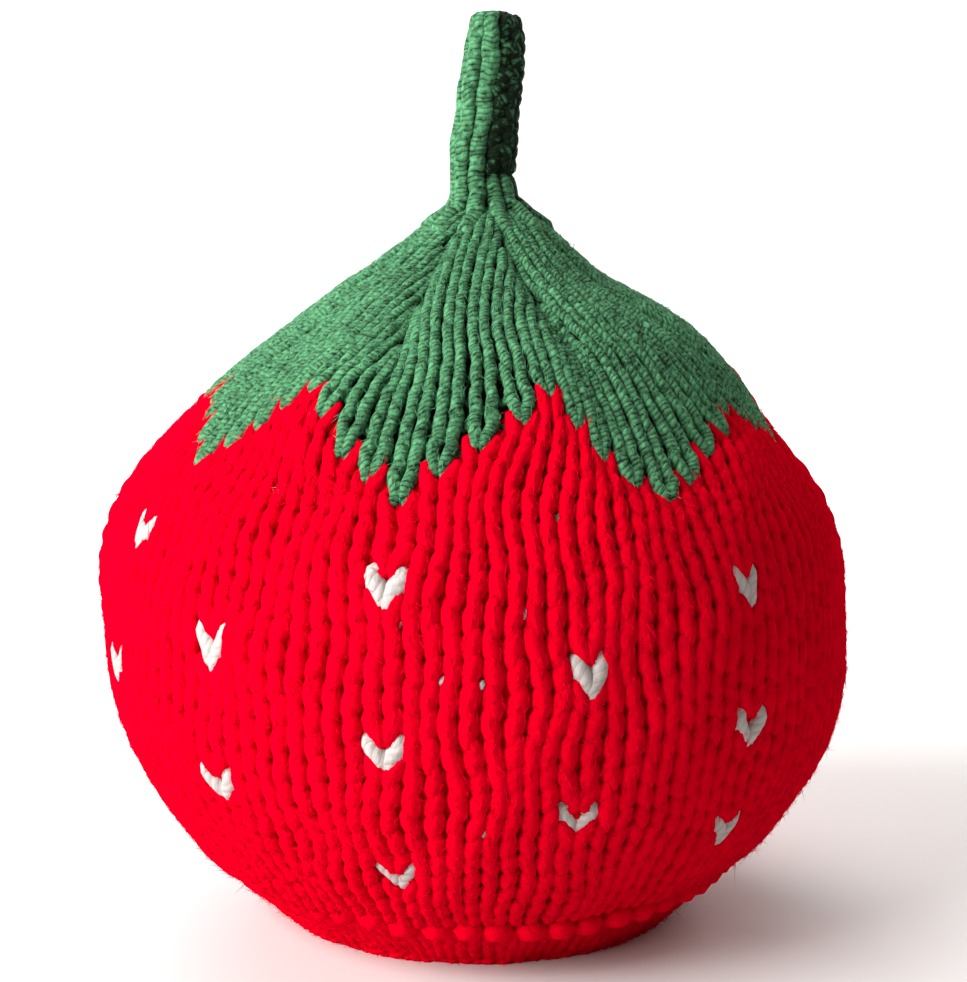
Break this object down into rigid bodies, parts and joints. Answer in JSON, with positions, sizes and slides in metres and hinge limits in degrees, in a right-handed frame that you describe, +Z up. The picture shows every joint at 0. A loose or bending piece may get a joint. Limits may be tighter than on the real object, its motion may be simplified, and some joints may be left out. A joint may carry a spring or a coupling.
{
  "type": "tea cosy",
  "caption": "Round hand-knitted tea cosy shaped like a strawberry, with a leafy crown, a rolled stalk, side openings for spout and handle, and an open hem.",
  "frame": {"origin": "middle of the bounding box at the hem, on the surface the cosy stands on", "axes": "+Z up along the stalk, -Y the front panel, -X the spout opening, +X the handle opening"},
  "size_m": [0.174, 0.1749, 0.2122],
  "materials": {
    "red_yarn": "matt, soft chunky knitting yarn, bright red",
    "green_yarn": "matt, plied chunky knitting yarn, mid green",
    "white_yarn": "matt, plied knitting yarn, off-white, used for the seed stitches"
  },
  "bodies": {
    "root": {"front_panel": "red_yarn", "back_panel": "red_yarn", "hull": "green_yarn", "stalk": "green_yarn"}
  },
  "joints": []
}
